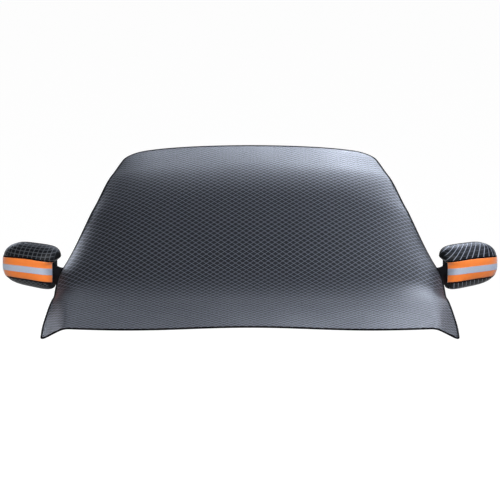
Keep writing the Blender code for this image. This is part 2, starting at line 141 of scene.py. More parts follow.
def drape(s, t):
    """Where the flat place (s, t) of the panel's middle layer lies on the car."""
    s, t = np.broadcast_arrays(np.asarray(s, float), np.asarray(t, float))
    glass = ease((t - GLASS_FROM) / (GLASS_TO - GLASS_FROM))
    edge = side_cut(t)
    bow, wrap = np.radians(eased_between(GLASS_BOW, t)), np.radians(eased_between(PILLAR_WRAP, t))
    wave = math.pi / HOOD_CREST_AT
    across, drop, steps = np.zeros(s.shape), np.zeros(s.shape), 60
    for i in range(steps):
        at = np.abs(s) * (i + 0.5) / steps
        wrapped = bow * at / edge + wrap * np.exp((at - edge) / WRAP_REACH)
        hood = np.arctan(HOOD_CREST * wave * np.sin(np.minimum(at * wave, 1.5 * math.pi)))
        hood += math.radians(FLAP_ANGLE) * ease((at - FLAP_AT - FLAP_SPREAD * t) / FLAP_BEND + 0.5)
        angle = wrapped * glass + hood * (1 - glass)
        across += np.cos(angle) * np.abs(s) / steps
        drop += np.sin(angle) * np.abs(s) / steps
    y, z, slope = (np.interp(t, LINE_T, column) for column in (LINE_Y, LINE_Z, LINE_SLOPE))
    beyond = np.clip(t - PANEL_HEIGHT, 0, None) + np.clip(t, None, 0)
    y, z = y + beyond * np.cos(slope), z + beyond * np.sin(slope)
    return np.stack([np.copysign(across, s), y + np.sin(slope) * drop, z - np.cos(slope) * drop], -1) - SEAT


SEAT = np.zeros(3)
seat_slope = float(np.interp(SEAT_AT, LINE_T, LINE_SLOPE))
SEAT = drape(0.0, SEAT_AT) + PANEL_THICK / 2 * np.array([0.0, math.sin(seat_slope), -math.cos(seat_slope)])


def unit(v):
    return v / np.linalg.norm(v, axis=-1, keepdims=True)


def drape_skin(s, t, lift):
    """The same place, lifted off the middle layer along the panel's upward normal."""
    s, t, lift = np.broadcast_arrays(*(np.asarray(x, float) for x in (s, t, lift)))
    right = drape(s + STEP, t) - drape(s - STEP, t)
    rear = drape(s, t + STEP) - drape(s, t - STEP)
    return drape(s, t) + unit(np.cross(right, rear)) * lift[..., None]


def grid_faces(rows, columns, loop=False):
    """Corner numbers of the quads of a grid, as an array; loop joins its last column to its first."""
    i, j = np.meshgrid(np.arange(rows - 1), np.arange(columns if loop else columns - 1), indexing="ij")
    k = (j + 1) % columns
    return np.stack([i * columns + j, i * columns + k, (i + 1) * columns + k, (i + 1) * columns + j],
                    -1).reshape(-1, 4)


def make_mesh(name, points, faces, flat, slots, materials):
    """A piece from its points, faces, flat places in metres and each face's material number."""
    mesh = bpy.data.meshes.new(name)
    mesh.from_pydata(points.reshape(-1, 3).tolist(), [], faces.tolist())
    layer = mesh.uv_layers.new(name="flat")
    layer.data.foreach_set("uv", np.asarray(flat, float)[faces.ravel()].ravel())
    mesh.polygons.foreach_set("material_index", np.asarray(slots, int))
    mesh.polygons.foreach_set("use_smooth", np.full(len(faces), True))
    for material in materials:
        mesh.materials.append(material)
    obj = bpy.data.objects.new(name, mesh)
    bpy.context.scene.collection.objects.link(obj)
    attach(obj, "root")
    return obj


def make_sheet(name, upper, lower, flat, materials, loop=False):
    """A closed sheet from its two faces, given as grids: outer side, inner side and cut edge."""
    rows, columns = upper.shape[:2]
    points = np.concatenate([upper.reshape(-1, 3), lower.reshape(-1, 3)])
    outer = grid_faces(rows, columns, loop)
    count = rows * columns
    last = (rows - 1) * columns
    run = np.arange(columns if loop else columns - 1)
    ahead = (run + 1) % columns
    rims = [np.stack([ahead, run, run + count, ahead + count], -1),
            np.stack([last + run, last + ahead, last + ahead + count, last + run + count], -1)]
    if not loop:
        climb = np.arange(rows - 1) * columns
        rims.append(np.stack([climb, climb + columns, climb + columns + count, climb + count], -1))
        climb = climb + columns - 1
        rims.append(np.stack([climb + columns, climb, climb + count, climb + columns + count], -1))
    rim = np.concatenate(rims)
    faces = np.concatenate([outer, outer[:, ::-1] + count, rim])
    slots = np.repeat([0, len(materials) - 1, 0], [len(outer), len(outer), len(rim)])
    places = np.asarray(flat, float).reshape(-1, 2)
    return make_mesh(name, points, faces, np.concatenate([places, places]), slots, materials)


def node(tree, kind, values=(), **settings):
    """A shader node; values gives its inputs by name or number, as a value or as another node's output."""
    made = tree.nodes.new(kind)
    for key, value in settings.items():
        setattr(made, key, value)
    for key, value in dict(values).items():
        if isinstance(value, bpy.types.NodeSocket):
            tree.links.new(value, made.inputs[key])
        else:
            made.inputs[key].default_value = value
    return made


def sums(tree, operation, *values, clamp=False):
    """One step of arithmetic on numbers."""
    return node(tree, "ShaderNodeMath", enumerate(values), operation=operation, use_clamp=clamp).outputs[0]


def mixed(tree, share, first, second):
    """Colour between first and second."""
    made = node(tree, "ShaderNodeMix", {0: share}, data_type='RGBA')
    for socket, value in ((made.inputs[6], first), (made.inputs[7], second)):
        if isinstance(value, bpy.types.NodeSocket):
            tree.links.new(value, socket)
        else:
            socket.default_value = (*value, 1.0)
    return made.outputs[2]


def new_group(name, inputs, outputs):
    """An empty shader node group with number inputs (or a vector where the default is a tuple)."""
    tree = bpy.data.node_groups.new(name, 'ShaderNodeTree')
    for label, default in inputs.items():
        kind = 'NodeSocketVector' if isinstance(default, tuple) else 'NodeSocketFloat'
        socket = tree.interface.new_socket(name=label, in_out='INPUT', socket_type=kind)
        socket.default_value = default
    for label in outputs:
        tree.interface.new_socket(name=label, in_out='OUTPUT', socket_type='NodeSocketFloat')
    return tree, tree.nodes.new("NodeGroupInput").outputs, tree.nodes.new("NodeGroupOutput").inputs


def lines_group():
    """Check of two families of thin lines that cross, from the flat places."""
    tree, given, out = new_group("diamond check", {
        "Flat": (0.0, 0.0, 0.0), "Across": 0.03, "Down": 0.025, "Width": 0.12, "Rising": 1.0, "Falling": 1.0},
        ("Lines",))
    split = node(tree, "ShaderNodeSeparateXYZ", {0: given["Flat"]}).outputs
    s, t = sums(tree, 'DIVIDE', split[0], given["Across"]), sums(tree, 'DIVIDE', split[1], given["Down"])
    families = []
    for operation, weight in (('SUBTRACT', "Rising"), ('ADD', "Falling")):
        turn = sums(tree, 'FRACT', sums(tree, operation, s, t))
        near = sums(tree, 'ABSOLUTE', sums(tree, 'SUBTRACT', turn, 0.5))
        off = sums(tree, 'DIVIDE', sums(tree, 'SUBTRACT', 0.5, near), given["Width"])
        soft = node(tree, "ShaderNodeMapRange", {0: off, 1: 0.35, 2: 1.0, 3: 1.0, 4: 0.0},
                    interpolation_type='SMOOTHSTEP').outputs[0]
        families.append(sums(tree, 'MULTIPLY', soft, given[weight]))
    tree.links.new(sums(tree, 'MAXIMUM', *families), out["Lines"])
    return tree


def weave_group():
    """Plain weave: threads over and under, with a little unevenness from thread to thread."""
    tree, given, out = new_group("plain weave", {
        "Flat": (0.0, 0.0, 0.0), "Thread": 0.0008, "Unevenness": 0.5}, ("Height", "Shade"))
    split = node(tree, "ShaderNodeSeparateXYZ", {0: given["Flat"]}).outputs
    rate = sums(tree, 'DIVIDE', math.pi, given["Thread"])
    s, t = sums(tree, 'MULTIPLY', split[0], rate), sums(tree, 'MULTIPLY', split[1], rate)
    over = sums(tree, 'MULTIPLY', sums(tree, 'SINE', s), sums(tree, 'SINE', t))
    slubs = node(tree, "ShaderNodeTexNoise", {"Vector": given["Flat"], "Scale": 260.0,
                                             "Detail": 3.0}).outputs[0]
    uneven = sums(tree, 'MULTIPLY', sums(tree, 'SUBTRACT', slubs, 0.5), given["Unevenness"])
    height = sums(tree, 'ADD', sums(tree, 'MULTIPLY_ADD', over, 0.5, 0.5), uneven)
    tree.links.new(height, out["Height"])
    tree.links.new(sums(tree, 'MULTIPLY_ADD', uneven, 0.5, 0.5), out["Shade"])
    return tree


def wear_group():
    """Handling marks and settled dust: slow cloudy patches and finer specks between 0 and 1."""
    tree, given, out = new_group("handling", {"Flat": (0.0, 0.0, 0.0), "Amount": 0.5}, ("Mask",))
    slow = node(tree, "ShaderNodeTexNoise", {"Vector": given["Flat"], "Scale": 4.0, "Detail": 5.0}).outputs[0]
    specks = node(tree, "ShaderNodeTexNoise", {"Vector": given["Flat"], "Scale": 70.0, "Detail": 4.0})
    both = sums(tree, 'MULTIPLY', slow, specks.outputs[0])
    spread = node(tree, "ShaderNodeMapRange", {0: both, 1: 0.18, 2: 0.38}).outputs[0]
    tree.links.new(sums(tree, 'MULTIPLY', spread, given["Amount"]), out["Mask"])
    return tree


DIAMONDS, WEAVE, HANDLING = lines_group(), weave_group(), wear_group()


def grouped(tree, group, values):
    """Outputs of a node group put to use in a material."""
    return node(tree, "ShaderNodeGroup", values, node_tree=group).outputs


def new_material(name, **shine):
    """A material, its tree, its shader and the piece's flat places; shine sets constants on the shader."""
    material = bpy.data.materials.new(name)
    material.use_nodes = True
    tree = material.node_tree
    shader = tree.nodes["Principled BSDF"]
    for key, value in shine.items():
        shader.inputs[key.replace("_", " ")].default_value = value
    return material, tree, shader, node(tree, "ShaderNodeUVMap", uv_map="flat").outputs[0]


def bumped(tree, shader, height, distance, strength=1.0):
    bump = node(tree, "ShaderNodeBump", {"Strength": strength, "Distance": distance, "Height": height})
    tree.links.new(bump.outputs[0], shader.inputs["Normal"])


def checked_fabric(name, cell, line, across, down, width, rising=1.0, falling=1.0, printed="flat", **shine):
    """Dark coated polyester with a paler check over its fine weave; printed names the check's places."""
    material, tree, shader, flat = new_material(name, **shine)
    places = node(tree, "ShaderNodeUVMap", uv_map=printed).outputs[0]
    check = grouped(tree, DIAMONDS, {"Flat": places, "Across": across, "Down": down, "Width": width,
                                     "Rising": rising, "Falling": falling})
    weave = grouped(tree, WEAVE, {"Flat": flat, "Thread": 0.0009, "Unevenness": 0.7})
    marks = grouped(tree, HANDLING, {"Flat": flat, "Amount": 0.35})
    woven = mixed(tree, sums(tree, 'MULTIPLY', weave["Shade"], 0.5), cell, [c * 1.8 for c in cell])
    dusty = mixed(tree, marks["Mask"], woven, [c * 2.2 for c in cell])
    colour = mixed(tree, check["Lines"], dusty, line)
    plain = node(tree, "ShaderNodeAttribute", attribute_name="end_piece").outputs["Fac"]
    tree.links.new(mixed(tree, plain, colour, [c * 0.5 for c in cell]), shader.inputs["Base Color"])
    rough = sums(tree, 'MULTIPLY_ADD', plain, 0.4, sums(tree, 'MULTIPLY_ADD', marks["Mask"], 0.2, 0.42))
    tree.links.new(rough, shader.inputs["Roughness"])
    height = sums(tree, 'MULTIPLY_ADD', check["Lines"], 1.6, weave["Height"])
    bumped(tree, shader, height, 0.0002, 0.6)
    return material


panel_fabric = checked_fabric("panel fabric", (0.0020, 0.0024, 0.0034), (0.172, 0.186, 0.228),
                              0.0297, 0.0252, 0.065, Specular_IOR_Level=0.36)


def felt_lining():
    """Soft grey felt on the side towards the glass: short fibres laid every way."""
    material, tree, shader, flat = new_material("felt lining", Roughness=0.95, Sheen_Weight=0.3)
    fibres = node(tree, "ShaderNodeTexNoise", {"Vector": flat, "Scale": 900.0, "Detail": 6.0,
                                              "Distortion": 1.5}).outputs[0]
    clouds = grouped(tree, HANDLING, {"Flat": flat, "Amount": 0.5})["Mask"]
    colour = mixed(tree, fibres, (0.16, 0.165, 0.175), (0.30, 0.305, 0.315))
    tree.links.new(mixed(tree, clouds, colour, (0.17, 0.17, 0.17)), shader.inputs["Base Color"])
    bumped(tree, shader, fibres, 0.0005, 0.7)
    return material


def panel_heights():
    """Heights of the panel's rows: even along its sides and close together round its corners."""
    turn = np.linspace(0, math.pi / 2, CORNER_ROWS, endpoint=False)
    low = HEM_CORNER * (1 - np.cos(turn))
    high = PANEL_HEIGHT - TOP_CORNER * (1 - np.cos(turn[::-1]))
    return np.concatenate([low, np.linspace(HEM_CORNER, PANEL_HEIGHT - TOP_CORNER, PANEL_ROWS), high])


panel_t = panel_heights()
panel_half = cut_edge(panel_t)[0]
panel_s = np.linspace(-1.0, 1.0, PANEL_COLUMNS + 1)[None, :] * panel_half[:, None]
panel_flat = np.stack([panel_s, np.broadcast_to(panel_t[:, None], panel_s.shape)], -1)
panel = make_sheet("panel", drape_skin(panel_s, panel_t[:, None], PANEL_THICK / 2),
                   drape_skin(panel_s, panel_t[:, None], -PANEL_THICK / 2), panel_flat,
                   [panel_fabric, felt_lining()])
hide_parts("cover_panel")


# The binding: black woven polyester tape, folded in half over the panel's cut edge all the way round
# and fixed by one row of lock stitch near its inner edge.
BIND_THICK, BIND_LIP, BIND_BEND, SOFT_GAP = 0.0009, 0.006, 0.0017, 0.0005
STITCH, STITCH_GAP, THREAD = 0.0034, 0.0012, 0.0004


def black_webbing(name, colour, thread):
    """Ribbed black tape, its raised threads painted a little paler and its hollows darker, as painted
    highlight and painted shade.
    """
    material, tree, shader, flat = new_material(name, Roughness=0.85, Specular_IOR_Level=0.04)
    weave = grouped(tree, WEAVE, {"Flat": flat, "Thread": thread, "Unevenness": 0.6})
    colours = mixed(tree, weave["Height"], [c * 0.5 for c in colour], [c * 1.5 for c in colour])
    tree.links.new(colours, shader.inputs["Base Color"])
    bumped(tree, shader, weave["Height"], 0.0003, 0.7)
    return material


def outline_places():
    """Places round the cut's edge in order, with the flat outward direction at each."""
    half, out, up = cut_edge(panel_t)
    row = np.linspace(-1.0, 1.0, PANEL_COLUMNS + 1)
    hem = np.stack([row * half[0], 0 * row, 0 * row, 0 * row - 1], -1)
    right = np.stack([half, panel_t, out, up], -1)[1:-1]
    top = np.stack([-row * half[-1], 0 * row + PANEL_HEIGHT, 0 * row, 0 * row + 1], -1)
    left = np.stack([-half, panel_t, -out, up], -1)[-2:0:-1]
    return np.concatenate([hem, right, top, left])


def tape_over_edge():
    """The folded tape as a closed loop: across its width it runs from the upper lip round to the lower."""
    edge = outline_places()
    lift = PANEL_THICK / 2 + SOFT_GAP + BIND_THICK / 2
    turn = np.linspace(math.pi / 2, -math.pi / 2, 9)
    out = np.concatenate([[-BIND_LIP, -BIND_LIP / 2], BIND_BEND * np.cos(turn), [-BIND_LIP / 2, -BIND_LIP]])
    up = np.concatenate([[lift, lift], lift * np.sin(turn), [-lift, -lift]])
    sides = []
    for grow in (BIND_THICK / 2, -BIND_THICK / 2):
        o = out + grow * np.concatenate([[0, 0], np.cos(turn), [0, 0]])
        u = up + grow * np.concatenate([[1, 1], np.sin(turn), [-1, -1]])
        sides.append(drape_skin(edge[None, :, 0] + edge[None, :, 2] * o[:, None],
                                edge[None, :, 1] + edge[None, :, 3] * o[:, None], u[:, None]))
    run = np.concatenate([[0], np.cumsum(np.linalg.norm(np.diff(edge[:, :2], axis=0), axis=1))])
    width = np.linspace(0, 2 * BIND_LIP + 0.006, len(out))
    flat = np.stack(np.broadcast_arrays(run[None, :], width[:, None]), -1)
    return sides[0][::-1], sides[1][::-1], flat


def make_stitches(name, path, normal, material):
    """A row of stitches along a path: each a short thread that dips into the cloth at both its ends."""
    lengths = np.concatenate([[0], np.cumsum(np.linalg.norm(np.diff(path, axis=0), axis=1))])
    starts = np.arange(STITCH_GAP, lengths[-1] - STITCH, STITCH + STITCH_GAP)
    rings, sides = np.array([0.0, 0.25, 0.75, 1.0]), 6
    at = starts[:, None] + rings[None, :] * STITCH
    centre = np.stack([np.interp(at, lengths, path[:, k]) for k in range(3)], -1)
    up = unit(np.stack([np.interp(at, lengths, normal[:, k]) for k in range(3)], -1))
    ahead = unit(np.gradient(centre, axis=1))
    side = unit(np.cross(ahead, up))
    centre = centre + up * (np.array([-0.6, 0.35, 0.35, -0.6]) * THREAD)[None, :, None]
    turn = np.linspace(0, 2 * math.pi, sides, endpoint=False)
    radius = THREAD / 2 * np.array([0.6, 1.0, 1.0, 0.6])[None, :, None, None]
    points = centre[:, :, None] + radius * (side[:, :, None] * np.cos(turn)[:, None]
                                            + up[:, :, None] * np.sin(turn)[:, None])
    one = grid_faces(len(rings), sides, loop=True)
    each = len(rings) * sides
    faces = (one[None] + np.arange(len(starts))[:, None, None] * each).reshape(-1, 4)
    flat = np.stack([np.repeat(at.ravel(), sides), np.tile(turn, at.size) * THREAD / 2], -1)
    return make_mesh(name, points, faces, flat, np.zeros(len(faces), int), [material])


def sewing_thread(name, colour):
    """Two-ply polyester thread: the plies wind round each other, with painted shade in the grooves between
    them.
    """
    material, tree, shader, flat = new_material(name, Roughness=0.6, Sheen_Weight=0.2)
    twist = node(tree, "ShaderNodeTexWave", {"Vector": flat, "Scale": 700.0},
                 bands_direction='DIAGONAL').outputs[1]
    colours = mixed(tree, twist, [c * 0.5 for c in colour], colour)
    tree.links.new(colours, shader.inputs["Base Color"])
    bumped(tree, shader, twist, 0.0001, 0.6)
    return material


binding_webbing = black_webbing("binding webbing", (0.003, 0.003, 0.0035), 0.0011)
dark_thread = sewing_thread("dark thread", (0.05, 0.05, 0.055))
outer_side, inner_side, tape_flat = tape_over_edge()
binding = make_sheet("binding", outer_side, inner_side, tape_flat, [binding_webbing], loop=True)
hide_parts("edge_binding")
edge = np.concatenate([outline_places(), outline_places()[:1]])
for name, sign in (("binding_stitches_upper", 1), ("binding_stitches_lower", -1)):
    inset = BIND_LIP * 0.72
    s, t = edge[:, 0] - edge[:, 2] * inset, edge[:, 1] - edge[:, 3] * inset
    face = sign * (PANEL_THICK / 2 + SOFT_GAP + BIND_THICK)
    path, above = drape_skin(s, t, face), drape_skin(s, t, face + sign * 0.001)
    row = make_stitches(name, path, above - path, dark_thread)


# The mirror covers: each a shell of the same coated polyester, cut in front, top, bottom and end parts
# and sewn into a bag that slips over the mirror from the front. Its mouth is at the back, and the part
# that faces the car has no check. The two covers are cut from the cloth at different slants.
SHELL_LONG, SHELL_DEEP, SHELL_HIGH = 0.1266, 0.0745, 0.0895
SHELL_WALL = 0.002
SHELL_OUTER_POWER, SHELL_INNER_POWER, SHELL_DEPTH_POWER = 3.0, 5.0, 2.3
SHELL_FULL_BELOW = 0.10
SHELL_SPACE, SHELL_BEHIND, SHELL_ABOVE = 0.0052, 0.0815, 0.0168
NOTCH_DEPTH, NOTCH_EASE, NOTCH_TOP, NOTCH_BOTTOM = 0.026, 0.028, 0.033, -0.079
SHELL_SWEEP, MOUTH_ANGLE = math.radians(24.4), math.radians(-26.0)
NECK_FROM, NECK_TO = 0.527, 0.640
SHELL_COLUMNS, SHELL_ROWS = 180, 60
# Mean radius for laying the cloth round the shell, and the added length round its two ends.
SHELL_GIRTH, END_STRETCH = 0.085, 0.6
CHECK_FROM, CHECK_RISE = 0.806, 0.040
# Share of the outward half from which the check runs round the outer end, and how far it is drawn out there.
END_FROM, END_DRAW = 0.4, 0.9
# Left cover: gaps between leaning, level and lower lines, and the lean with its growth up the cover.
LEFT_LEANING, LEFT_LEVEL, LEFT_UNDER, LEFT_LEAN, LEFT_BEND = 0.0186, 0.017, 0.019, 0.22, 1.3
# Right cover: gaps between leaning, level and lower lines, the lean's fall up the cover, the fan's reach.
RIGHT_LEANING, RIGHT_LEVEL, RIGHT_UNDER, RIGHT_BEND, RIGHT_FAN = 0.0258, 0.018, 0.017, 4.4, 0.19
# How squarely a face has to look at the car to be plain, and over what range the check fades.
PLAIN_FROM, PLAIN_FADE = 0.72, 0.25


def shell_centre():
    t = np.array((NECK_FROM + NECK_TO) / 2)
    beside = SHELL_SPACE + SHELL_LONG * math.cos(SHELL_SWEEP)
    return drape(cut_edge(t)[0], t) + np.array([beside, SHELL_BEHIND, SHELL_ABOVE])


SHELL_MIDDLE = shell_centre()


def shell_to_world(hand, u, v, z):
    """From a mirror cover's own outward, forward and upward lengths to the car."""
    z = z * (1 - SHELL_FULL_BELOW * (u / SHELL_LONG) * (1 - z / SHELL_HIGH) / 2)
    c, s = math.cos(SHELL_SWEEP), math.sin(SHELL_SWEEP)
    x, y, height = SHELL_MIDDLE
    return np.stack(np.broadcast_arrays(hand * (x + u * c + v * s), y + u * s - v * c, height + z), -1)


def power(value, exponent):
    return np.copysign(np.abs(value) ** exponent, value)


def arm_notch(u, z):
    """Share of the outward length u left where the inner end is cut back for the mirror's arm."""
    inward = np.clip(-u / SHELL_LONG, 0.0, 1.0)
    notch = ease((NOTCH_TOP - z) / NOTCH_EASE + 0.5) * ease((z - NOTCH_BOTTOM) / NOTCH_EASE + 0.5)
    return 1 - NOTCH_DEPTH / SHELL_LONG * notch * inward ** 2


def shell_ring(around, back):
    """Own lengths of the shell's outer face: around is the angle round its front, back the angle forward."""
    c, s = np.cos(around), np.sin(around)
    square = np.where(c > 0, SHELL_OUTER_POWER, SHELL_INNER_POWER)
    reach = (np.abs(c) ** square + np.abs(s) ** square) ** (-1 / square)
    reach = reach * power(np.cos(back), 2 / SHELL_DEPTH_POWER)
    u, z = SHELL_LONG * reach * c, SHELL_HIGH * reach * s
    return u * arm_notch(u, z), SHELL_DEEP * power(np.sin(back), 2 / SHELL_DEPTH_POWER), z


def shell_level(u, v, z, grow=0.0):
    """One on the shell's outer face, less inside it and more outside it."""
    square = np.where(u > 0, SHELL_OUTER_POWER, SHELL_INNER_POWER)
    whole = u
    for _ in range(12):
        whole = u / arm_notch(whole, z)
    front = np.abs(whole / (SHELL_LONG + grow)) ** square + np.abs(z / (SHELL_HIGH + grow)) ** square
    return front ** (SHELL_DEPTH_POWER / square) + np.abs(v / (SHELL_DEEP + grow)) ** SHELL_DEPTH_POWER


def shell_ring_skin(hand, around, back, lift):
    around, back, lift = np.broadcast_arrays(around, back, lift)
    near = np.minimum(back, math.pi / 2 - 2 * STEP)
    side_on = (shell_to_world(hand, *shell_ring(around + STEP, near))
               - shell_to_world(hand, *shell_ring(around - STEP, near)))
    forward = (shell_to_world(hand, *shell_ring(around, near + STEP))
               - shell_to_world(hand, *shell_ring(around, near - STEP)))
    outward = unit(np.cross(side_on, forward)) * hand
    return shell_to_world(hand, *shell_ring(around, back)) + outward * lift[..., None]


def print_check(mesh, hand):
    corners = np.empty(len(mesh.loops), int)
    mesh.loops.foreach_get("vertex_index", corners)
    place = np.empty(len(mesh.vertices) * 3)
    mesh.vertices.foreach_get("co", place)
    x, y, z = (place.reshape(-1, 3)[corners] * (hand, 1, 1) - SHELL_MIDDLE).T
    forward = x * math.sin(SHELL_SWEEP) - y * math.cos(SHELL_SWEEP)
    behind = np.clip(-forward, 0.0, None)
    outward = (x * math.cos(SHELL_SWEEP) + y * math.sin(SHELL_SWEEP)) / SHELL_LONG
    x = x + SHELL_MIDDLE[0] - CHECK_FROM + (
        END_DRAW * ease((outward - END_FROM) / (1 - END_FROM)) * (SHELL_DEEP - forward))
    share = np.clip(z / SHELL_HIGH, -1.0, 1.0)
    front = (1 - np.abs(share) ** SHELL_DEPTH_POWER) ** (1 / SHELL_DEPTH_POWER)
    climb = SHELL_GIRTH * np.arctan2(share, front) + np.sign(share) * share ** 2 * behind
    above = np.repeat(climb.reshape(-1, 4).mean(1) > 0, 4)
    h = climb - np.where(above, 1, -1) * CHECK_RISE
    if hand < 0:
        leaning, level = (x + LEFT_LEAN * h + LEFT_BEND * h * h) / LEFT_LEANING, h / LEFT_LEVEL
        under = (x + h) / LEFT_UNDER, (x - h) / LEFT_UNDER
    else:
        lean = h - RIGHT_BEND * h * h
        leaning, level = (x - lean) / (1 - lean / RIGHT_FAN) / RIGHT_LEANING, h / RIGHT_LEVEL
        under = x / RIGHT_UNDER, h / RIGHT_LEVEL
    leaning, level = np.where(above, leaning, under[0]), np.where(above, level, under[1])
    layer = mesh.uv_layers.new(name="check")
    layer.data.foreach_set("uv", np.stack([(leaning + level) / 2, (level - leaning) / 2], -1).ravel())


def make_shell(hand, word):
    around = np.linspace(0, 2 * math.pi, SHELL_COLUMNS, endpoint=False)
    back = np.linspace(MOUTH_ANGLE, math.pi / 2 - 0.004, SHELL_ROWS)
    a, b = np.meshgrid(around, back)
    outer, inner = shell_ring_skin(hand, a, b, 0.0 * a), shell_ring_skin(hand, a, b, 0.0 * a - SHELL_WALL)
    u, v, z = shell_ring(a, b)
    far = np.clip(u / SHELL_LONG, -1, 1)
    along = u + (np.arcsin(far) - far) * SHELL_LONG * END_STRETCH
    climb = SHELL_GIRTH * np.arctan2(z / SHELL_HIGH, v / SHELL_DEEP)
    flat = np.stack([along, climb], -1)
    ends = ease((-((outer - inner) @ np.array([hand * math.cos(SHELL_SWEEP), math.sin(SHELL_SWEEP), 0.0]))
                 / SHELL_WALL - PLAIN_FROM) / PLAIN_FADE)
    fabric = COVER_FABRIC[word]
    if hand < 0:
        outer, inner, flat, ends = outer[:, ::-1], inner[:, ::-1], flat[:, ::-1], ends[:, ::-1]
    obj = make_sheet(f"mirror_shell_{word}", outer, inner, flat, [fabric, cover_lining], loop=True)
    mesh = obj.data
    uv = np.empty(len(mesh.loops) * 2)
    mesh.uv_layers["flat"].data.foreach_get("uv", uv)
    uv = uv.reshape(-1, 4, 2)
    split = np.ptp(uv[:, :, 1], axis=1) > math.pi * SHELL_GIRTH
    uv[..., 1] += 2 * math.pi * SHELL_GIRTH * (split[:, None] & (uv[..., 1] < 0))
    mesh.uv_layers["flat"].data.foreach_set("uv", uv.ravel())
    mesh.attributes.new("end_piece", 'FLOAT', 'POINT').data.foreach_set("value", np.tile(ends.ravel(), 2))
    print_check(mesh, hand)
    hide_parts(f"mirror_cover_{word}")


cover_lining = felt_lining()
cover_lining.name = "mirror cover lining"
# The two covers are the same cloth, but their check is painted: cells and lines darker on the left cover as
# painted shade, lines paler on the right cover as painted highlight, with the right cover's falling family
# painted faint as painted shade.
COVER_FABRIC = {
    "left": checked_fabric("left mirror cover fabric with painted shade", (0.004, 0.0045, 0.006), (0.075, 0.082, 0.092),
                           1.0, 1.0, 0.13, printed="check", Specular_IOR_Level=0.15),
    "right": checked_fabric("right mirror cover fabric with painted highlight and shade", (0.006, 0.007, 0.009), (0.30, 0.32, 0.38),
                            1.0, 1.0, 0.09, falling=0.12, printed="check", Specular_IOR_Level=0.13),
}
for hand, word in ((-1, "left"), (1, "right")):
    make_shell(hand, word)


# The elastic casing: black knit tape folded over the shell's mouth, with a round elastic cord drawn
# through it that gathers the mouth behind the mirror.
CASING_LIP, CASING_GAP, CORD_RADIUS, CASING_TURN = math.radians(7.0), 0.0013, 0.0015, 1.1
GATHER_HIGH, GATHER_COUNT, GATHER_SWELLS = 0.0005, 76, 5
casing_webbing = black_webbing("casing webbing", (0.013, 0.013, 0.015), 0.0009)


def elastic_sleeve():
    """Braided pale sleeve of the elastic cord, with painted shade in the grooves of the braid."""
    material, tree, shader, flat = new_material("elastic sleeve", Roughness=0.7)
    place = node(tree, "ShaderNodeNewGeometry").outputs["Position"]
    braid = node(tree, "ShaderNodeTexWave", {"Vector": place, "Scale": 500.0, "Distortion": 2.0},
                 bands_direction='DIAGONAL').outputs[1]
    tree.links.new(mixed(tree, braid, (0.3, 0.3, 0.29), (0.62, 0.62, 0.6)), shader.inputs["Base Color"])
    bumped(tree, shader, braid, 0.0003)
    return material


def make_casing(hand, word):
    around = np.linspace(0, 2 * math.pi, SHELL_COLUMNS * 2, endpoint=False)
    over = CASING_GAP + BIND_THICK / 2
    bend = CORD_RADIUS + over
    mouth, lip = MOUTH_ANGLE, MOUTH_ANGLE + CASING_LIP
    outer_ring = shell_ring_skin(hand, around, mouth + 0 * around, 0 * around)
    inner_ring = shell_ring_skin(hand, around, mouth + 0 * around, 0 * around - SHELL_WALL)
    normal = unit(outer_ring - inner_ring)
    rear = shell_ring_skin(hand, around, mouth - STEP + 0 * around, 0 * around) - outer_ring
    rear = unit(rear - normal * (rear * normal).sum(-1, keepdims=True))
    middle = (outer_ring + inner_ring) / 2 + rear * (CORD_RADIUS + SOFT_GAP)
    gather = GATHER_HIGH * np.sin(around * GATHER_COUNT) * (0.7 + 0.3 * np.sin(around * GATHER_SWELLS))
    faces = []
    for grow in (BIND_THICK / 2, -BIND_THICK / 2):
        rows = [shell_ring_skin(hand, around, at + 0 * around, over + grow + gather * share)
                for at, share in ((lip, 0.2), ((lip + mouth) / 2, 0.7), (mouth, 1.0))]
        for turn in np.linspace(CASING_TURN, -CASING_TURN, 7):
            radius = (bend + grow + gather)[:, None]
            rows.append(middle + (rear * math.cos(turn) + normal * math.sin(turn)) * radius)
        rows += [shell_ring_skin(hand, around, at + 0 * around, -SHELL_WALL - over - grow - gather * share)
                 for at, share in ((mouth, 1.0), ((lip + mouth) / 2, 0.7), (lip, 0.2))]
        faces.append(np.stack(rows))
    run = around * SHELL_LONG
    flat = np.stack(np.broadcast_arrays(run[None, :], np.linspace(0, 0.03, len(faces[0]))[:, None]), -1)
    outer, inner = faces
    if hand > 0:
        outer, inner, flat = outer[:, ::-1], inner[:, ::-1], flat[:, ::-1]
    obj = make_sheet(f"mouth_gathers_{word}", outer, inner, flat, [casing_webbing], loop=True)
    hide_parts(f"mouth_casing_{word}")


sleeve = elastic_sleeve()
for hand, word in ((-1, "left"), (1, "right")):
    make_casing(hand, word)
    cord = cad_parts[f"mouth_elastic_{word}"]
    cord.data.materials.clear()
    cord.data.materials.append(sleeve)


# The warning tape: fluorescent orange polyester ribbon on a slightly wider black backing, sewn along
# both edges round the front of each mirror cover, with a silver glass-bead stripe along its middle.
TAPE_WIDTH, TAPE_THICK, STRIPE_WIDTH, STRIPE_THICK, GAP = 0.084, 0.0005, 0.027, 0.0003, 0.0003
TAPE_LOW, TAPE_RISE, TAPE_TILT = -0.0205, 0.300, 0.022
TAPE_OUTER, TAPE_INNER, TAPE_PULL = math.radians(-12.0), math.radians(172.5), math.radians(2.0)
TAPE_LIFT, TAPE_HEM = 0.0015, 0.95                   # above the shell; where the stitches run, of its width
BACKING_WIDTH, BACKING_THICK, BACKING_LIFT, BACKING_PAST = 0.096, 0.0005, 0.0004, math.radians(2.0)


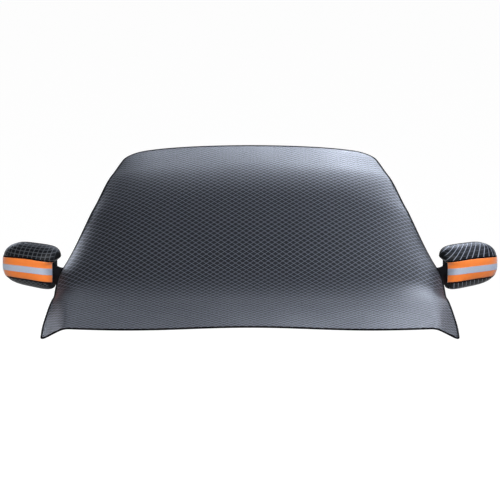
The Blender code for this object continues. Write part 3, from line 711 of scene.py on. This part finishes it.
def shell_side(hand, azimuth, z):
    """Place on the shell at the height z, in the direction of azimuth seen from above."""
    azimuth, z = np.broadcast_arrays(azimuth, z)
    u, v = np.cos(azimuth), np.sin(azimuth)
    near, far = np.zeros(u.shape), np.full(u.shape, 2 * SHELL_LONG)
    for _ in range(40):
        r = (near + far) / 2
        inside = shell_level(u * r, v * r, z) < 1
        near, far = np.where(inside, r, near), np.where(inside, far, r)
    return shell_to_world(hand, u * near, v * near, z)


def shell_side_skin(hand, azimuth, z, lift):
    azimuth, z, lift = np.broadcast_arrays(azimuth, z, lift)
    across = shell_side(hand, azimuth + STEP, z) - shell_side(hand, azimuth - STEP, z)
    up = shell_side(hand, azimuth, z + STEP) - shell_side(hand, azimuth, z - STEP)
    return shell_side(hand, azimuth, z) + unit(np.cross(up, across)) * hand * lift[..., None]


def tape_height(azimuth):
    """Height of the tape's middle line, which lies in a plane that rises forward."""
    u, v = np.cos(azimuth), np.sin(azimuth)
    return TAPE_LOW + (TAPE_RISE * v - TAPE_TILT * u) * shell_level(u, v, 0.0 * u) ** (-1 / SHELL_DEPTH_POWER)


def band(hand, width, lift, columns=120, rows=25, past=0.0):
    """Grid of places on a band round the front of the shell, and its flat places."""
    outer, inner = (math.atan2(math.sin(end) / SHELL_DEEP, math.cos(end) / SHELL_LONG)
                    for end in (TAPE_OUTER, TAPE_INNER))
    level = np.linspace(-width / TAPE_WIDTH, width / TAPE_WIDTH, rows)[:, None]
    share = np.linspace(0, 1, columns)[None, :]
    end = inner + past - TAPE_PULL * (1 - np.minimum(level ** 2, 1.0))
    turn = outer + (end - outer) * share
    azimuth = np.arctan2(SHELL_DEEP * np.sin(turn), SHELL_LONG * np.cos(turn))
    places = shell_side_skin(hand, azimuth, tape_height(azimuth) + level * TAPE_WIDTH / 2, lift)
    steps = np.linalg.norm(np.diff(places[rows // 2], axis=0), axis=1)
    run = np.concatenate([[0], np.cumsum(steps)])
    flat = np.stack(np.broadcast_arrays(run[None, :], level * TAPE_WIDTH / 2), -1)
    return places, flat


def make_band(hand, name, width, lift, thick, material, node_name=None, past=0.0):
    lower, flat = band(hand, width, lift, past=past)
    upper, _ = band(hand, width, lift + thick, past=past)
    if hand > 0:
        upper, lower, flat = upper[:, ::-1], lower[:, ::-1], flat[:, ::-1]
    obj = make_sheet(name, upper, lower, flat, [material])
    if node_name:
        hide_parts(node_name)


def orange_ribbon():
    """Fluorescent orange ribbon: fine ribs across it, a little paler where the threads catch light."""
    material, tree, shader, flat = new_material("orange ribbon", Roughness=0.55, Sheen_Weight=0.6,
                                                Sheen_Roughness=0.4)
    weave = grouped(tree, WEAVE, {"Flat": flat, "Thread": 0.0007, "Unevenness": 0.5})
    marks = grouped(tree, HANDLING, {"Flat": flat, "Amount": 0.3})
    colour = mixed(tree, weave["Shade"], (0.97, 0.19, 0.018), (1.0, 0.30, 0.050))
    tree.links.new(mixed(tree, marks["Mask"], colour, (0.85, 0.16, 0.03)), shader.inputs["Base Color"])
    bumped(tree, shader, weave["Height"], 0.0002, 0.6)
    return material


def silver_beads():
    """Silver reflective stripe: glass beads set in a grey resin, with a pressed net of fine lines."""
    material, tree, shader, flat = new_material("silver beads", Metallic=0.35, Coat_Roughness=0.2)
    beads = node(tree, "ShaderNodeTexVoronoi", {"Vector": flat, "Scale": 2600.0}).outputs
    net = grouped(tree, DIAMONDS, {"Flat": flat, "Across": 0.0034, "Down": 0.0034, "Width": 0.2})["Lines"]
    marks = grouped(tree, HANDLING, {"Flat": flat, "Amount": 0.3})
    colour = mixed(tree, beads["Distance"], (0.56, 0.61, 0.74), (0.44, 0.50, 0.62))
    tree.links.new(mixed(tree, sums(tree, 'MULTIPLY', net, 0.35), colour, (0.3, 0.34, 0.42)),
                   shader.inputs["Base Color"])
    tree.links.new(sums(tree, 'ADD', 0.38, marks["Mask"]), shader.inputs["Roughness"])
    bumped(tree, shader, sums(tree, 'SUBTRACT', beads["Distance"], net), 0.0001, 0.5)
    return material


ribbon, beads = orange_ribbon(), silver_beads()
backing_webbing = black_webbing("tape backing", (0.003, 0.003, 0.0035), 0.0009)
pale_thread = sewing_thread("orange thread", (0.8, 0.2, 0.03))
for hand, word in ((-1, "left"), (1, "right")):
    make_band(hand, f"tape_backing_{word}", BACKING_WIDTH, BACKING_LIFT, BACKING_THICK, backing_webbing,
              past=BACKING_PAST)
    make_band(hand, f"orange_tape_{word}", TAPE_WIDTH, TAPE_LIFT, TAPE_THICK, ribbon,
              f"warning_tape_{word}")
    make_band(hand, f"silver_tape_{word}", STRIPE_WIDTH, TAPE_LIFT + TAPE_THICK + GAP, STRIPE_THICK, beads,
              f"silver_stripe_{word}")
    for side_word, row in (("upper", -1), ("lower", 0)):
        face = TAPE_LIFT + TAPE_THICK
        path, above = (band(hand, TAPE_WIDTH * TAPE_HEM, lift)[0][row] for lift in (face, face + 0.001))
        stitches = make_stitches(f"tape_stitches_{side_word}_{word}", path, above - path, pale_thread)


# The necks: plain black stretch knit, sewn to each mirror cover beside the tape and in under the panel's
# bound edge. It lets the cover reach mirrors that stand closer or farther, and draws in towards the middle.
NECK_THICK, NECK_TUCK, NECK_SEAM, NECK_AHEAD = 0.0015, 0.014, math.radians(175.0), 0.25
NECK_LIFT, NECK_DROP, NECK_DIP, NECK_RUN, NECK_RISE, NECK_CUT = 0.0008, 0.0013, 0.020, 0.6, 0.02, 0.1


def stretch_knit():
    """Fine ribbed knit, matt, its ribs running from the cover to the panel, with painted shade between the
    ribs.
    """
    material, tree, shader, flat = new_material("stretch knit", Roughness=0.9, Specular_IOR_Level=0.05)
    split = node(tree, "ShaderNodeSeparateXYZ", {0: flat}).outputs
    ribs = sums(tree, 'MULTIPLY_ADD', sums(tree, 'SINE', sums(tree, 'MULTIPLY', split[1], 3500.0)), 0.5, 0.5)
    loops = grouped(tree, WEAVE, {"Flat": flat, "Thread": 0.0007, "Unevenness": 0.8})
    colour = mixed(tree, ribs, (0.003, 0.003, 0.004), (0.009, 0.009, 0.011))
    tree.links.new(mixed(tree, loops["Shade"], colour, (0.009, 0.009, 0.011)), shader.inputs["Base Color"])
    bumped(tree, shader, sums(tree, 'ADD', ribs, loops["Height"]), 0.0003, 0.7)
    return material


def off_shell(hand, points, grow):
    """Points that lie inside the grown shell, moved straight out to its face."""
    x, y, height = SHELL_MIDDLE
    c, s = math.cos(SHELL_SWEEP), math.sin(SHELL_SWEEP)
    dx, dy, z = points[..., 0] * hand - x, points[..., 1] - y, points[..., 2] - height
    u, v = dx * c + dy * s, dx * s - dy * c
    level = shell_level(u, v, z, grow)
    scale = np.where(level < 1, np.maximum(level, 0.05) ** (-1 / SHELL_DEPTH_POWER), 1.0)
    moved = shell_to_world(hand, u * scale, v * scale, z * scale)
    return np.where((level < 1)[..., None], moved, points)


def neck_places(hand, rows=41, columns=60):
    level = np.linspace(-1, 1, rows)[:, None]
    share = np.linspace(0, 1, columns)[None, :]
    z = tape_height(NECK_SEAM) + level * TAPE_WIDTH / 2
    clear = NECK_LIFT + NECK_THICK / 2
    start = shell_side_skin(hand, NECK_SEAM, z, clear)
    ahead = shell_side_skin(hand, NECK_SEAM + NECK_AHEAD, z, clear)
    t = NECK_FROM + (NECK_TO - NECK_FROM) * (level + 1) / 2
    half = cut_edge(t)[0]
    under = -(PANEL_THICK / 2 + SOFT_GAP + BIND_THICK + NECK_DROP + NECK_THICK / 2)
    end, before = drape_skin(hand * half, t, under), drape_skin(hand * (half + NECK_RISE), t, under)
    dip = np.concatenate([0 * level, 0 * level, -NECK_DIP * np.maximum(0.0, level)], -1)[:, None]
    first = start + (ahead - start) * NECK_RUN + dip
    r, q = 1 - share[..., None], share[..., None]
    places = start * r ** 3 + first * 3 * r * r * q + before * 3 * r * q ** 2 + end * q ** 3
    places[:, 1:] = off_shell(hand, places[:, 1:], clear + SOFT_GAP)
    tucked = [drape_skin(hand * (half - NECK_TUCK * part), t, under) for part in np.linspace(0.1, 1, 10)]
    return np.concatenate([places, *tucked], 1)


def make_neck(hand, word):
    middle = neck_places(hand)
    rows, columns = middle.shape[:2]
    along = np.gradient(middle, axis=1)
    up = np.gradient(middle, axis=0)
    normal = unit(np.cross(along, up)) * -hand
    flat = np.stack(np.broadcast_arrays(np.linspace(0, NECK_CUT, columns)[None, :],
                                        np.linspace(0, NECK_CUT, rows)[:, None]), -1)
    upper, lower = middle + normal * NECK_THICK / 2, middle - normal * NECK_THICK / 2
    if hand > 0:
        upper, lower, flat = upper[:, ::-1], lower[:, ::-1], flat[:, ::-1]
    obj = make_sheet(f"stretch_neck_{word}", upper, lower, flat, [knit])
    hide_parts(f"mirror_neck_{word}")


knit = stretch_knit()
for hand, word in ((-1, "left"), (1, "right")):
    make_neck(hand, word)


# The studio: a white floor well below the cover, as far down as a road is under a hood. Soft lamps stand
# behind and on the right, where they graze the cloth, and one in front shows its colours.
FLOOR_BELOW, FLOOR_WIDE = 1.0, 60.0
CAMERA_RISE, CAMERA_FAR, CAMERA_LENS = math.radians(17.0), 12.0, 210.7317
CAMERA_AIM = np.array([0.0, 0.0235, -0.0010])


def white_ground():
    """White to the camera and in what mirrors it, matt so that it keeps a shadow, and clear from below."""
    material = bpy.data.materials.new("studio white")
    material.use_nodes = True
    tree = material.node_tree
    tree.nodes.clear()
    path = node(tree, "ShaderNodeLightPath").outputs
    seen = sums(tree, 'ADD', sums(tree, 'ADD', path["Is Camera Ray"], path["Is Glossy Ray"]),
                path["Is Transmission Ray"], clamp=True)
    matt = node(tree, "ShaderNodeBsdfDiffuse", {"Color": (0.12, 0.12, 0.12, 1.0)})
    glow = node(tree, "ShaderNodeEmission", {"Color": (1.0, 1.0, 1.0, 1.0),
                                             "Strength": sums(tree, 'MULTIPLY', seen, 0.97)})
    both = node(tree, "ShaderNodeAddShader", {0: matt.outputs[0], 1: glow.outputs[0]})
    below = node(tree, "ShaderNodeNewGeometry").outputs["Backfacing"]
    gone = node(tree, "ShaderNodeBsdfTransparent")
    either = node(tree, "ShaderNodeMixShader", {0: below, 1: both.outputs[0], 2: gone.outputs[0]})
    node(tree, "ShaderNodeOutputMaterial", {0: either.outputs[0]})
    return material


bpy.ops.mesh.primitive_plane_add(size=FLOOR_WIDE, location=(0, 0, cad_box[0][2] - FLOOR_BELOW))
floor = bpy.context.object
floor.name = "studio_floor"
floor.data.materials.append(white_ground())

world = bpy.data.worlds.new("studio")
bpy.context.scene.world = world
world.use_nodes = True
sky = world.node_tree
sky.nodes.clear()
path = node(sky, "ShaderNodeLightPath").outputs
toward = node(sky, "ShaderNodeTexCoord").outputs["Generated"]
climb = node(sky, "ShaderNodeSeparateXYZ", {0: toward}).outputs[2]
horizon = node(sky, "ShaderNodeMapRange", {0: climb, 1: 0.0, 2: 0.1, 3: 1.0, 4: 0.0}).outputs[0]
shone = sums(sky, 'MULTIPLY', horizon, sums(sky, 'ADD', path["Is Glossy Ray"], path["Is Transmission Ray"]))
seen = sums(sky, 'ADD', path["Is Camera Ray"], shone, clamp=True)
strength = node(sky, "ShaderNodeMapRange", {0: seen, 3: 0.05, 4: 1.0}).outputs[0]
white = node(sky, "ShaderNodeBackground", {"Color": (1.0, 1.0, 1.0, 1.0), "Strength": strength})
node(sky, "ShaderNodeOutputWorld", {0: white.outputs[0]})


def soft_lamp(name, place, aim, size, watts, colour=(1.0, 1.0, 1.0)):
    lamp = bpy.data.lights.new(name, 'AREA')
    lamp.shape, lamp.size, lamp.size_y = 'RECTANGLE', *size
    lamp.energy, lamp.color = watts, colour
    obj = bpy.data.objects.new(name, lamp)
    bpy.context.scene.collection.objects.link(obj)
    toward = np.array(aim) - np.array(place)
    obj.location = place
    obj.rotation_euler = Vector(toward.tolist()).to_track_quat('-Z', 'Y').to_euler()
    obj.visible_camera = False


COOL = (0.78, 0.85, 1.0)
soft_lamp("rear_lamp", (0.0, 2.6, 1.1), (0.0, 0.3, 0.0), (1.6, 1.2), 22, COOL)
soft_lamp("roof_lamp", (1.0, 1.7, 0.75), (0.4, 0.7, 0.2), (1.4, 0.6), 16, COOL)
soft_lamp("low_rear_lamp", (0.9, 2.6, 0.8), (0.3, 0.6, 0.2), (1.8, 0.5), 16, COOL)
soft_lamp("right_lamp", (1.9, 0.2, 2.0), (0.3, 0.1, 0.0), (1.6, 1.6), 55, COOL)
soft_lamp("left_lamp", (-2.0, 2.6, 0.5), (-0.4, 0.0, 0.0), (1.2, 0.8), 23, COOL)
soft_lamp("front_lamp", (-0.3, -4.6, 3.0), (0.0, 0.0, 0.0), (3.0, 2.0), 335)

camera = bpy.data.objects.new("camera", bpy.data.cameras.new("camera"))
bpy.context.scene.collection.objects.link(camera)
camera.data.lens, camera.data.sensor_width = CAMERA_LENS, 36.0
camera.data.clip_end = 100.0
looks = np.array([0.0, math.cos(CAMERA_RISE), -math.sin(CAMERA_RISE)])
camera.location = CAMERA_AIM - looks * CAMERA_FAR
camera.rotation_euler = (math.pi / 2 - CAMERA_RISE, 0.0, 0.0)
bpy.context.scene.camera = camera
bpy.context.scene.view_settings.view_transform = 'Standard'
